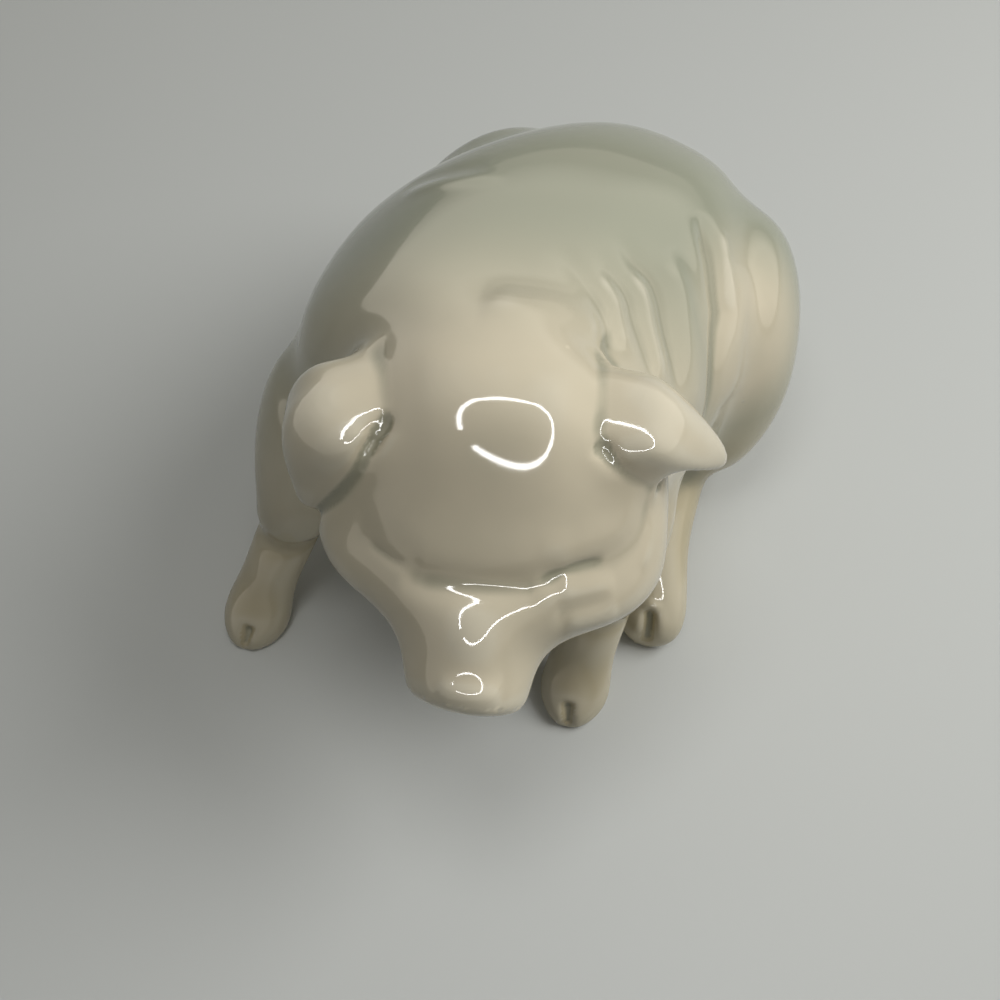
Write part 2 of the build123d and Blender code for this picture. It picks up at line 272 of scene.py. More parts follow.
@dataclass
class Skin:
    """The luted figure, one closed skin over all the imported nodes.

    Args:
        grain: Size of the clay's faces, in millimetres.
        weld: How near vertices lie that are one, in millimetres.
        swell: How far the nodes swell while they are luted, in millimetres.
        search: How far distances from the nodes are measured, in millimetres.
        pass_share: How far towards the mean one smoothing pass goes.
        passes: Smoothing passes all over.
        join_share: How far one smoothing pass goes along the joins.
        join_passes: Smoothing passes along the joins.
        reaches: How far from its join each node is smoothed, in millimetres.
        fresh_passes: Smoothing passes on the faces that are laid afresh.
        last_share: How far one smoothing pass goes after the strokes.
        last_passes: Smoothing passes after the strokes.
        border_passes: Smoothing passes on the borders between the pieces.
        pool_passes: Smoothing passes that a hollow is measured against.
        pool_depth: How deep a hollow is full of glaze, in millimetres.
        foot_height: What lies lower than this, in millimetres, stays flat on the table.
        vent_centre: Middle of the vent hole in the seat, in millimetres.
        vent_radius: Radius of the vent hole, in millimetres.
        plug_low: Lowest place of the stopper in the vent hole, in millimetres.
        plug_high: Highest place of the stopper, in millimetres.
        plug_overlap: How far the stopper goes into the wall, in millimetres.
        plug_sides: How many sides the stopper has.
        cores: Middles of the head and the torso, in millimetres.
        core_share: How far towards the nearest core each join is closed.
        wall: How deep each join's wall goes before it is closed, in millimetres.
        trees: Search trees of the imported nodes, in the order of Part.
    """

    grain: float = 0.58
    weld: float = 0.01
    swell: float = 0.75
    search: float = 8.0
    pass_share: float = 0.5
    passes: int = 5
    join_share: float = 0.6
    join_passes: int = 140
    reaches: dict[Part, float] = field(
        default_factory=lambda: {
            Part.HEAD: 7.0,
            Part.EAR_LEFT: 1.5,
            Part.EAR_RIGHT: 1.5,
            Part.FORELEG_LEFT: 3.5,
            Part.FORELEG_RIGHT: 3.5,
            Part.HIND_LEG_LEFT: 6.0,
            Part.HIND_LEG_RIGHT: 6.0,
            Part.TAIL: 1.3,
        }
    )
    fresh_passes: int = 3
    last_share: float = 0.35
    last_passes: int = 2
    border_passes: int = 12
    pool_passes: int = 40
    pool_depth: float = 0.22
    foot_height: float = 0.25
    vent_centre: tuple[float, float] = (12.4, 22.7)
    vent_radius: float = 2.5
    plug_low: float = 2.4
    plug_high: float = 4.0
    plug_overlap: float = 0.4
    plug_sides: int = 48
    cores: tuple[Point, ...] = ((-4.0, -30.0, 60.0), (12.0, 12.0, 40.0))
    core_share: float = 0.35
    wall: float = 1.2
    trees: list[BVHTree] = field(default_factory=list)

    def plug(self) -> bpy.types.Object:
        """Shapes a stopper for the vent hole, so that the hollow is closed.

        Returns:
            The stopper.
        """
        bpy.ops.object.select_all(action="DESELECT")
        bpy.ops.mesh.primitive_cylinder_add(
            vertices=self.plug_sides,
            radius=(self.vent_radius + self.plug_overlap) * MM,
            depth=(self.plug_high - self.plug_low) * MM,
            location=(
                self.vent_centre[0] * MM,
                self.vent_centre[1] * MM,
                (self.plug_low + self.plug_high) / 2 * MM,
            ),
        )
        return bpy.context.active_object

    def lute(self, nodes: dict[str, bpy.types.Object]) -> bpy.types.Object:
        """Joins copies of the nodes into one closed skin.

        Args:
            nodes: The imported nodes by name.

        Returns:
            The skin, with its hollow filled.
        """
        copies = []
        for part in Part:
            node = nodes[part.value]
            copy = node.copy()
            copy.data = node.data.copy()
            copy.parent = None
            # The frame's marks on the node come off its copy.
            for key in list(copy.keys()):
                del copy[key]
            bpy.context.scene.collection.objects.link(copy)
            select_only(copy)
            bpy.ops.object.mode_set(mode="EDIT")
            bpy.ops.mesh.select_all(action="SELECT")
            bpy.ops.mesh.remove_doubles(threshold=self.weld * MM)
            bpy.ops.object.mode_set(mode="OBJECT")
            self.trees.append(
                BVHTree.FromPolygons(
                    [v.co for v in copy.data.vertices],
                    [p.vertices for p in copy.data.polygons],
                )
            )
            swollen = coordinates(copy.data) + vertex_normals(copy.data) * self.swell * MM
            place(copy.data, swollen)
            copies.append(copy)
        copies.append(self.plug())
        # Only the stopper is selected now, and its place goes into its mesh.
        bpy.ops.object.transform_apply(location=True, rotation=True, scale=True)
        bpy.ops.object.select_all(action="DESELECT")
        for copy in copies:
            copy.select_set(True)
        skin = copies[0]
        bpy.context.view_layer.objects.active = skin
        bpy.ops.object.join()
        skin.name = "skin"
        skin.data.name = "skin"
        skin.data.remesh_voxel_size = self.grain * MM
        skin.data.remesh_voxel_adaptivity = 0
        bpy.ops.object.voxel_remesh()
        skin = self.outermost(skin)
        skin.data.materials.clear()
        return skin

    def outermost(self, skin: bpy.types.Object) -> bpy.types.Object:
        """Keeps only the largest of the skin's loose shells.

        Args:
            skin: The remeshed nodes.

        Returns:
            The outer shell.
        """
        select_only(skin)
        bpy.ops.object.mode_set(mode="EDIT")
        bpy.ops.mesh.select_all(action="SELECT")
        bpy.ops.mesh.separate(type="LOOSE")
        bpy.ops.object.mode_set(mode="OBJECT")
        shells = [o for o in bpy.context.selected_objects if o.type == "MESH"]
        shells.sort(key=lambda shell: len(shell.data.vertices))
        for shell in shells[:-1]:
            bpy.data.objects.remove(shell)
        return shells[-1]

    def gaps(self, rows: np.ndarray) -> np.ndarray:
        """Measures how far each place is from each node.

        Args:
            rows: Places, in metres.

        Returns:
            One row of distances for each node, in metres.
        """
        reach = self.search * MM
        gaps = np.full((len(self.trees), len(rows)), reach)
        for index, tree in enumerate(self.trees):
            for row, point in enumerate(rows):
                found = tree.find_nearest(point, reach)
                if found[3] is not None:
                    gaps[index, row] = found[3]
        return gaps

    def smooth(
        self, rows: np.ndarray, edges: np.ndarray, weight: np.ndarray | float, passes: int
    ) -> np.ndarray:
        """Moves each row towards the mean of its neighbours.

        Args:
            rows: Places or values, one row for each vertex.
            edges: Pairs of neighbours.
            weight: How far each row may move, from 0 to 1.
            passes: How often.

        Returns:
            The smoothed rows.
        """
        count = np.bincount(edges.ravel(), minlength=len(rows))[:, None]
        first, second = edges[:, 0], edges[:, 1]
        share = np.reshape(weight, (-1, 1))
        for _ in range(passes):
            middle = np.empty_like(rows)
            for axis in range(rows.shape[1]):
                middle[:, axis] = np.bincount(first, rows[second, axis], len(rows))
                middle[:, axis] += np.bincount(second, rows[first, axis], len(rows))
            rows = rows + share * (middle / count - rows)
        return rows

    def fair(self, skin: bpy.types.Object) -> None:
        """Smooths the joins, then lays the skin's faces afresh.

        Args:
            skin: The luted skin.
        """
        mesh = skin.data
        edges = edge_rows(mesh)
        raw = coordinates(mesh) - vertex_normals(mesh) * self.swell * MM
        gaps = self.gaps(raw)
        join = np.zeros(len(raw))
        for index, part in enumerate(Part):
            if part in self.reaches:
                other = np.delete(gaps, index, axis=0).min(0)
                near = (gaps[index] + other) / (self.reaches[part] * MM)
                join = np.maximum(join, np.exp(-(near**2)))
        rows = self.smooth(raw, edges, self.pass_share, self.passes)
        rows = self.smooth(rows, edges, self.join_share * join, self.join_passes)
        rows[raw[:, 2] < self.foot_height * MM, 2] = 0
        place(mesh, rows)
        select_only(skin)
        mesh.remesh_voxel_size = self.grain * MM
        bpy.ops.object.voxel_remesh()

    def model(self, skin: bpy.types.Object, regions: tuple["Region", ...]) -> np.ndarray:
        """Works every push and stroke into the clay.

        Args:
            skin: The faired skin.
            regions: The torso, the head and the limbs.

        Returns:
            The distances of each vertex from each node, smoothed.
        """
        mesh = skin.data
        edges = edge_rows(mesh)
        raw = coordinates(mesh)
        gaps = self.gaps(raw)
        rows = self.smooth(raw, edges, self.pass_share, self.fresh_passes)
        for smear in (smear for region in regions for smear in region.smears):
            rows = smear.moved(rows)
        place(mesh, rows)
        for stroke in (stroke for region in regions for stroke in region.strokes):
            normals = vertex_normals(mesh)
            weight = stroke.weights(rows)
            rows = rows + (weight * stroke.tool.value * stroke.depth * MM)[:, None] * normals
            place(mesh, rows)
        rows = self.smooth(rows, edges, self.last_share, self.last_passes)
        rows[raw[:, 2] < self.foot_height * MM, 2] = 0
        rows[:, 2] = np.maximum(rows[:, 2], 0)
        place(mesh, rows)
        return self.smooth(gaps.T.copy(), edges, self.pass_share, self.border_passes)

    def mark_pools(self, skin: bpy.types.Object) -> None:
        """Marks hollows, where glaze pools, and edges, where it runs thin and where the glaze paints
        light shining through thin rims.

        Args:
            skin: The modelled skin.
        """
        mesh = skin.data
        rows = coordinates(mesh)
        soft = self.smooth(rows, edge_rows(mesh), self.pass_share, self.pool_passes)
        rise = ((soft - rows) * vertex_normals(mesh)).sum(1) / (self.pool_depth * MM)
        attribute = mesh.attributes.new("pool", "FLOAT", "POINT")
        attribute.data.foreach_set("value", np.clip(rise, -1, 1).astype(np.float32))

    def divide(self, skin: bpy.types.Object, gaps: np.ndarray) -> dict[Part, bpy.types.Object]:
        """Divides the skin into one closed piece for each node.

        Args:
            skin: The modelled skin.
            gaps: Distances of each vertex from each node.

        Returns:
            The pieces by node.
        """
        mesh = skin.data
        store = mesh.attributes.new("skin_normal", "FLOAT_VECTOR", "POINT")
        store.data.foreach_set("vector", vertex_normals(mesh).astype(np.float32).ravel())
        for part in Part:
            mesh.materials.append(bpy.data.materials.new(part.value))
        owner = np.zeros(len(mesh.polygons), np.int32)
        for face in mesh.polygons:
            owner[face.index] = gaps[list(face.vertices)].sum(0).argmin()
        owner = self.settle(mesh, owner)
        mesh.polygons.foreach_set("material_index", owner)
        select_only(skin)
        bpy.ops.object.mode_set(mode="EDIT")
        bpy.ops.mesh.select_all(action="SELECT")
        bpy.ops.mesh.separate(type="MATERIAL")
        bpy.ops.object.mode_set(mode="OBJECT")
        pieces = {}
        for piece in [o for o in bpy.context.selected_objects if o.type == "MESH"]:
            part = Part(piece.data.materials[0].name)
            piece.name = part.value + "_glazed"
            piece.data.name = piece.name
            self.close(piece)
            pieces[part] = piece
        return pieces

    def settle(self, mesh: bpy.types.Mesh, owner: np.ndarray) -> np.ndarray:
        """Gives loose patches of faces to the node that lies round them.

        Args:
            mesh: The skin's mesh.
            owner: The node of each face.

        Returns:
            The node of each face, so that each node has one patch.
        """
        beside = {}
        for face in mesh.polygons:
            for key in face.edge_keys:
                beside.setdefault(key, []).append(face.index)
        near = [[] for _ in owner]
        for first, second in (pair for pair in beside.values() if len(pair) == 2):
            near[first].append(second)
            near[second].append(first)
        patches, seen = [], np.zeros(len(owner), bool)
        for start in range(len(owner)):
            if not seen[start]:
                seen[start] = True
                patch = [start]
                for index in patch:
                    for other in near[index]:
                        if not seen[other] and owner[other] == owner[start]:
                            seen[other] = True
                            patch.append(other)
                patches.append(patch)
        largest = {}
        for patch in patches:
            index = owner[patch[0]]
            largest[index] = max(largest.get(index, patch), patch, key=len)
        for patch in sorted(patches, key=len):
            if patch is not largest[owner[patch[0]]]:
                around = [owner[other] for index in patch for other in near[index]]
                around = [index for index in around if index != owner[patch[0]]]
                owner[patch] = max(set(around), key=around.count)
        return owner

    def borders(self, mesh: bpy.types.Mesh) -> list[list[int]]:
        """Finds the open borders of a piece.

        Args:
            mesh: One open piece of the skin.

        Returns:
            The edges of each border.
        """
        used = {}
        for face in mesh.polygons:
            for key in face.edge_keys:
                used[key] = used.get(key, 0) + 1
        left = {edge.index: edge.key for edge in mesh.edges if used[edge.key] == 1}
        at = {}
        for index, key in left.items():
            for point in key:
                at.setdefault(point, []).append(index)
        found = []
        while left:
            border, queue = [], [next(iter(left))]
            while queue:
                index = queue.pop()
                if index in left:
                    border.append(index)
                    for point in left.pop(index):
                        queue += at[point]
            found.append(border)
        return found

    def close(self, piece: bpy.types.Object) -> None:
        """Closes a piece inside its joins, and keeps the skin's shading.

        Args:
            piece: One open piece of the skin.
        """
        mesh = piece.data
        skin_points = len(mesh.vertices)
        select_only(piece)
        for border in self.borders(mesh):
            bpy.ops.object.mode_set(mode="EDIT")
            bpy.ops.mesh.select_mode(type="EDGE")
            bpy.ops.mesh.select_all(action="DESELECT")
            bpy.ops.object.mode_set(mode="OBJECT")
            for index in border:
                mesh.edges[index].select = True
            bpy.ops.object.mode_set(mode="EDIT")
            bpy.ops.mesh.extrude_edges_move()
            bpy.ops.object.mode_set(mode="OBJECT")
            for vertex in mesh.vertices:
                if vertex.select:
                    normal = mesh.attributes["skin_normal"].data[vertex.index].vector
                    vertex.co -= normal * self.wall * MM
            bpy.ops.object.mode_set(mode="EDIT")
            bpy.ops.mesh.extrude_edges_move()
            bpy.ops.mesh.select_mode(type="VERT")
            bpy.ops.mesh.merge(type="CENTER")
            bpy.ops.object.mode_set(mode="OBJECT")
            middle = next(vertex for vertex in mesh.vertices if vertex.select)
            core = min((Vector(c) * MM for c in self.cores), key=lambda c: (c - middle.co).length)
            middle.co = middle.co.lerp(core, self.core_share)
        mesh.materials.clear()
        on_skin = np.array([max(face.vertices) < skin_points for face in mesh.polygons])
        mesh.polygons.foreach_set("use_smooth", on_skin)
        rims = set()
        for face, outside in zip(mesh.polygons, on_skin):
            if not outside:
                rims.update(face.edge_keys)
        mesh.edges.foreach_set("use_edge_sharp", np.array([edge.key in rims for edge in mesh.edges]))
        normals = np.zeros(len(mesh.vertices) * 3, np.float32)
        mesh.attributes["skin_normal"].data.foreach_get("vector", normals)
        corners = np.zeros(len(mesh.loops), np.int32)
        mesh.loops.foreach_get("vertex_index", corners)
        shading = normals.reshape(-1, 3)[corners].astype(float)
        for face, outside in zip(mesh.polygons, on_skin):
            if not outside:
                shading[list(face.loop_indices)] = face.normal
        mesh.normals_split_custom_set(shading.tolist())


@dataclass
class Region:
    """Nodes that are modelled and glazed together.

    Args:
        parts: The nodes.
        strokes: Tool strokes on them.
        smears: Pushes by hand on them.
    """

    parts: tuple[Part, ...] = ()
    strokes: tuple[Stroke, ...] = ()
    smears: tuple[Smear, ...] = ()

    def dress(self, piece: bpy.types.Object, part: Part, glaze: bpy.types.Material) -> None:
        """Glazes a piece and puts it in its node's place.

        Args:
            piece: The closed piece.
            part: The node that it stands for.
            glaze: The glaze's material.
        """
        piece.data.materials.append(glaze)
        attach(piece, "root")
        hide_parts(part.value)
        LOG.info("%s: %d faces", piece.name, len(piece.data.polygons))


@dataclass
class Head(Region):
    """The lowered head: brows, shut eyes, jowls, snout and nostrils."""

    parts: tuple[Part, ...] = (Part.HEAD,)
    strokes: tuple[Stroke, ...] = (
        # The brow over the bridge of the snout, and the dip below it.
        Stroke(((-16.0, -39.6, 69.4), (-10.0, -42.4, 70.0), (-4.0, -43.2, 70.4), (2.0, -43.2, 70.4),
                (8.0, -42.2, 69.8)), 3.6, 0.2, Tool.BUILD),
        Stroke(((-15.0, -44.4, 65.8), (-10.0, -46.0, 66.8), (-4.0, -46.8, 67.0), (2.0, -46.4, 66.8),
                (7.0, -45.4, 66.6)), 2.4, 0.8),
        # The valley under the left brow, up to the root of the ear.
        Stroke(((3.0, -45.6, 67.8), (8.0, -44.6, 67.0), (12.0, -43.0, 66.4), (15.6, -40.4, 66.3),
                (18.0, -36.8, 68.4), (18.2, -33.4, 71.0)), 2.8, 0.5),
        # The same under the right brow, fainter.
        Stroke(((-11.8, -43.8, 67.0), (-17.6, -41.0, 65.8), (-21.4, -37.0, 65.6)), 3.2, 0.25),
        # The brow that stands over the left valley.
        Stroke(((15.6, -34.6, 72.6), (15.4, -37.8, 69.6), (13.4, -40.0, 68.6), (10.6, -41.5, 69.2),
                (7.0, -42.8, 69.8), (3.0, -43.4, 70.4)), 2.8, 0.3, Tool.BUILD),
        # Shut eyes.
        Stroke(((4.0, -46.0, 67.2), (6.4, -45.0, 67.6), (8.8, -44.0, 67.5), (12.4, -42.6, 66.8)),
               0.8, 0.55),
        Stroke(((-14.0, -43.6, 66.6), (-16.4, -42.2, 66.2), (-19.6, -39.4, 65.8)), 0.8, 0.35),
        # Cheeks, with a second fold below the left eye.
        Stroke(((2.6, -47.3, 66.4), (6.2, -47.0, 65.6), (9.6, -46.2, 64.7), (13.8, -44.6, 63.7)),
               1.8, 0.4, Tool.BUILD),
        Stroke(((5.4, -49.0, 63.6), (7.4, -48.4, 63.2), (10.4, -47.4, 62.9), (13.4, -46.0, 62.3)),
               2.0, 0.25),
        Stroke(((7.0, -49.6, 61.4), (10.6, -48.8, 60.9), (14.4, -47.0, 60.6)), 2.0, 0.35, Tool.BUILD),
        # The top of the snout, a little rounder across.
        Stroke(((-5.4, -51.8, 63.0),), 5.2, 1.7, Tool.BUILD),
        Stroke(((-9.8, -57.2, 58.6), (-5.5, -58.4, 59.6), (-1.2, -58.6, 58.6)), 1.6, 0.5, Tool.BUILD),
        # The thin edge of the jowl, down the side of the face.
        Stroke(((17.6, -30.6, 73.2), (18.9, -33.6, 70.4), (19.0, -36.6, 67.4), (18.8, -39.6, 65.0),
                (17.6, -42.4, 63.2)), 0.9, 0.35, Tool.BUILD),
        # Nostrils.
        Stroke(((-2.9, -57.8, 50.8),), 1.1, 1.3),
        Stroke(((-9.8, -56.4, 50.8),), 1.1, 1.3),
    )


@dataclass
class Torso(Region):
    """The hollow torso, with its flank folds and the crease at the haunch."""

    parts: tuple[Part, ...] = (Part.TORSO,)
    strokes: tuple[Stroke, ...] = (
        # The nape, filled so that the head runs on into the back.
        Stroke(((-4.0, -10.6, 81.0), (1.1, -11.3, 80.4), (6.5, -10.3, 77.9), (10.1, -11.0, 75.5),
                (12.6, -13.0, 73.6)), 4.5, 0.8, Tool.BUILD),
        # Rolls of skin on the flank, each with the valley in front of it.
        Stroke(((6.0, 3.0, 75.0), (9.3, -0.4, 74.8), (11.4, -4.0, 73.8), (12.7, -8.0, 72.9),
                (12.9, -11.6, 72.8), (12.2, -15.4, 74.0)), 2.2, 0.35),
        Stroke(((12.4, 0.2, 73.0), (14.6, -3.4, 71.4), (15.6, -7.2, 70.6), (16.0, -11.4, 70.0)),
               2.4, 0.4, Tool.BUILD),
        Stroke(((12.6, 4.4, 73.0), (14.6, 0.5, 71.9), (16.9, -1.9, 69.9), (17.6, -5.4, 69.0),
                (18.6, -7.7, 67.8), (19.8, -10.6, 66.3), (20.6, -14.0, 64.0)), 2.1, 0.38),
        Stroke(((17.4, 3.2, 70.0), (19.6, 0.2, 68.2), (20.6, -4.2, 66.6), (21.8, -8.2, 64.8),
                (22.6, -12.0, 62.4)), 2.2, 0.36, Tool.BUILD),
        Stroke(((15.4, 8.8, 71.6), (18.5, 4.9, 69.4), (21.0, 3.2, 67.3), (22.2, 0.6, 65.9),
                (22.7, -3.1, 64.7), (23.3, -5.8, 63.5), (24.4, -10.1, 60.7), (25.0, -13.6, 57.4)),
               2.2, 0.5),
        Stroke(((22.6, 9.0, 67.4), (26.0, 5.0, 64.6), (27.4, -1.0, 61.6), (28.4, -7.0, 57.4),
                (28.6, -12.0, 52.6)), 3.2, 0.6, Tool.BUILD),
        # The deep crease in front of the haunch, and the haunch's edge behind it.
        Stroke(((29.6, 20.4, 62.0), (31.4, 16.2, 60.9), (32.1, 13.2, 59.7), (32.6, 8.5, 58.1),
                (33.0, 5.0, 56.6), (32.6, 1.6, 55.2), (32.4, -2.2, 52.4), (32.2, -6.0, 47.2),
                (31.0, -10.0, 40.8)), 2.2, 1.15),
        Stroke(((34.6, 20.4, 58.6), (34.8, 15.6, 57.8), (34.8, 11.0, 56.8), (34.6, 6.4, 55.4)),
               1.6, 0.3, Tool.BUILD),
        Stroke(((37.4, 16.0, 55.4), (37.4, 8.4, 53.6), (37.2, 4.2, 51.2), (37.2, 0.6, 47.0),
                (37.4, -2.4, 41.4)), 3.6, 0.7, Tool.BUILD),
        # The soft ridge across the back, and the dip behind it.
        Stroke(((-16.6, 21.4, 65.4), (-13.2, 20.8, 67.7), (-10.9, 20.5, 69.0), (-8.5, 19.9, 70.3),
                (-5.4, 19.7, 71.2), (-0.6, 20.0, 71.5)), 2.0, 0.25, Tool.BUILD),
        Stroke(((-16.8, 26.0, 61.6), (-12.8, 25.4, 65.4), (-8.6, 24.4, 68.0), (-3.2, 24.2, 69.6)),
               2.6, 0.3),
    )


@dataclass
class Limbs(Region):
    """The legs and their hooves, the ears and the tail."""

    parts: tuple[Part, ...] = (
        Part.EAR_LEFT,
        Part.EAR_RIGHT,
        Part.FORELEG_LEFT,
        Part.FORELEG_RIGHT,
        Part.HIND_LEG_LEFT,
        Part.HIND_LEG_RIGHT,
        Part.TAIL,
    )
    smears: tuple[Smear, ...] = (
        # The left ear leans back.
        Smear((19.0, -33.0, 75.6), 6.0, (0.0, 0.0, 1.3)),
        Smear((20.0, -19.0, 75.6), 6.0, (0.0, 0.6, -1.4)),
    )
    strokes: tuple[Stroke, ...] = (
        # The roots of the ears.
        Stroke(((12.6, -15.4, 75.0), (12.0, -18.6, 77.6), (11.6, -23.0, 79.6), (11.2, -27.8, 79.8),
                (11.0, -30.6, 79.2), (11.2, -33.2, 77.2)), 1.6, 0.5),
        Stroke(((-18.6, -14.6, 75.4), (-17.6, -18.4, 77.6), (-16.8, -22.0, 78.4), (-16.3, -26.5, 78.2),
                (-16.6, -29.8, 76.8)), 1.8, 0.45),
        # The gap between the right ear's front edge and the side of the face.
        Stroke(((-15.4, -27.0, 78.0), (-18.4, -30.2, 76.0), (-20.4, -31.2, 71.6), (-23.2, -32.4, 66.9),
                (-26.1, -32.9, 62.8), (-28.2, -32.4, 58.4), (-29.6, -30.8, 55.4), (-30.6, -28.6, 54.0)),
               1.15, 2.4),
        Stroke(((-19.2, -28.4, 77.0), (-21.6, -29.2, 73.8), (-24.6, -30.2, 69.0), (-27.4, -30.6, 64.4),
                (-29.2, -29.6, 60.5)), 1.6, 0.8, Tool.BUILD),
        # The gap below the left ear's front edge, and the valley behind its back edge.
        Stroke(((10.4, -31.4, 78.6), (12.6, -32.8, 76.6), (15.2, -33.3, 73.8), (18.6, -32.7, 70.4),
                (22.0, -31.2, 67.0)), 1.15, 1.8),
        Stroke(((12.8, -15.4, 74.4), (16.6, -14.8, 72.6), (20.4, -15.4, 70.0), (24.4, -17.0, 66.4),
                (28.0, -20.0, 62.8)), 1.4, 1.2),
        # Clefts of the fore hooves.
        Stroke(((10.3, -45.2, 1.2), (10.3, -44.6, 3.0), (10.2, -43.2, 4.6), (10.3, -41.6, 5.8)),
               0.9, 1.7),
        Stroke(((-49.2, -30.6, 1.2), (-48.6, -29.8, 3.1), (-48.0, -28.5, 4.4), (-47.4, -27.0, 5.6)),
               0.9, 1.7),
        # Clefts of the hind toes, with the left one's raised edge.
        Stroke(((24.9, -30.4, 2.6), (25.1, -29.4, 5.4), (25.3, -27.6, 7.8), (25.6, -25.2, 9.4)),
               1.1, 1.9),
        Stroke(((22.8, -28.9, 5.2), (23.8, -27.2, 8.0), (25.5, -24.6, 9.9), (27.2, -26.4, 8.2),
                (27.8, -28.9, 5.2)), 0.8, 0.5, Tool.BUILD),
        Stroke(((-34.6, 2.8, 2.6), (-34.1, 3.3, 5.4), (-32.8, 4.7, 7.6), (-31.1, 6.7, 9.0)), 1.1, 1.9),
    )


@dataclass(frozen=True)
class Wiring:
    """Adds nodes to one node tree and links them.

    Args:
        tree: The tree of a material or of the world.
    """

    tree: bpy.types.NodeTree

    def add(self, kind: str) -> bpy.types.Node:
        """Returns a new node of a kind, such as Math."""
        return self.tree.nodes.new("ShaderNode" + kind)

    def feed(self, socket: Socket, value: Socket | float | tuple[float, ...]) -> None:
        """Gives an input its value.

        Args:
            socket: The input.
            value: A number or a colour to set, or an output to link.
        """
        if isinstance(value, Socket):
            self.tree.links.new(value, socket)
        else:
            socket.default_value = value

    def axes(self, place_at: Socket) -> list[Socket]:
        """Splits a place into its X, Y and Z.

        Args:
            place_at: The place.

        Returns:
            The three axes.
        """
        node = self.add("SeparateXYZ")
        self.feed(node.inputs[0], place_at)
        return list(node.outputs)

    def ramp(
        self, value: Socket, span: Span, levels: Span = (0.0, 1.0), shape: str = "SMOOTHSTEP"
    ) -> Socket:
        """Turns a span of a value into a span of levels.

        Args:
            value: The value.
            span: Where the value starts and ends to count.
            levels: The result at the start and at the end.
            shape: How the result goes from one to the other.

        Returns:
            The level.
        """
        node = self.add("MapRange")
        node.interpolation_type = shape
        for name, number in zip(("From Min", "From Max", "To Min", "To Max"), (*span, *levels)):
            node.inputs[name].default_value = number
        self.feed(node.inputs["Value"], value)
        return node.outputs["Result"]

    def combine(self, operation: str, *values: Socket | float) -> Socket:
        """Works out one sum.

        Args:
            operation: The sum's kind.
            values: What goes into it.

        Returns:
            The result.
        """
        node = self.add("Math")
        node.operation = operation
        for socket, value in zip(node.inputs, values):
            self.feed(socket, value)
        return node.outputs[0]

    def blend(self, share: Socket, first: Socket | Colour, second: Colour) -> Socket:
        """Mixes two colours.

        Args:
            share: How much of the second colour shows.
            first: The first colour.
            second: The second colour.

        Returns:
            The mixed colour.
        """
        node = self.add("Mix")
        node.data_type = "RGBA"
        self.feed(node.inputs[0], share)
        # The node's inputs 6 and 7 and its output 2 are the ones for colours.
        self.feed(node.inputs[6], first if isinstance(first, Socket) else (*first, 1))
        self.feed(node.inputs[7], (*second, 1))
        return node.outputs[2]


